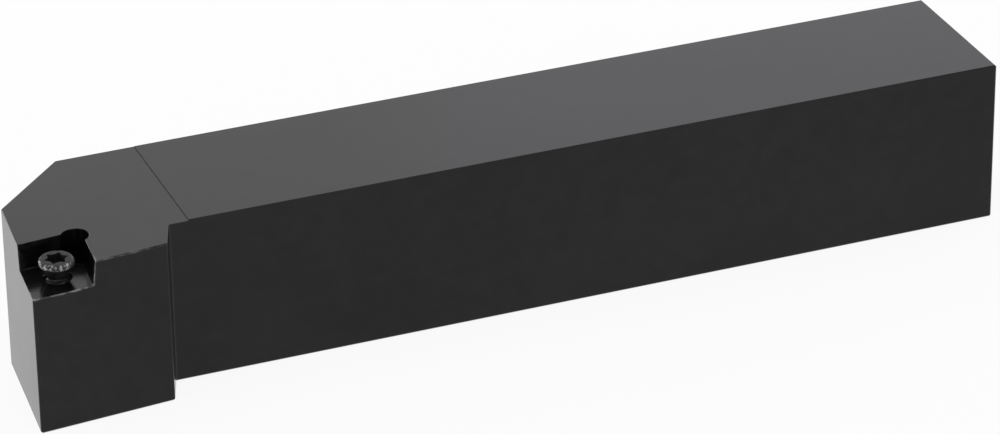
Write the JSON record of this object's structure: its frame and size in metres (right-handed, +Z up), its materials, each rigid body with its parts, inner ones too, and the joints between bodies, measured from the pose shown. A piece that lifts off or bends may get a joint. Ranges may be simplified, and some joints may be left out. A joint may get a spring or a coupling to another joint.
{
  "type": "turning tool holder",
  "caption": "Right-hand square-shank turning tool holder with an offset head, an open rhombic insert seat and a cone-headed clamp screw.",
  "frame": {"origin": "middle of the shank's base: half way along the 150 mm of overall length and half way across the 25 mm shank", "axes": "+X along the shank towards its rear end, so the nose is towards -X; -Y to the cutting side that the head is offset to; +Z up from the base to the insert's face"},
  "size_m": [0.1497, 0.0318, 0.025],
  "materials": {
    "blackened_steel": "black oxide over milled steel, satin",
    "screw_steel": "black oxide over turned steel, satin"
  },
  "bodies": {
    "holder": {"holder_body": "blackened_steel"},
    "screw": {"clamp_screw": "screw_steel"}
  },
  "joints": [
    {"name": "screw_travel", "type": "slide", "parent": "holder", "child": "screw", "axis": [0, 0, 1], "range_m": [-0.0006, 0.0084]}
  ]
}
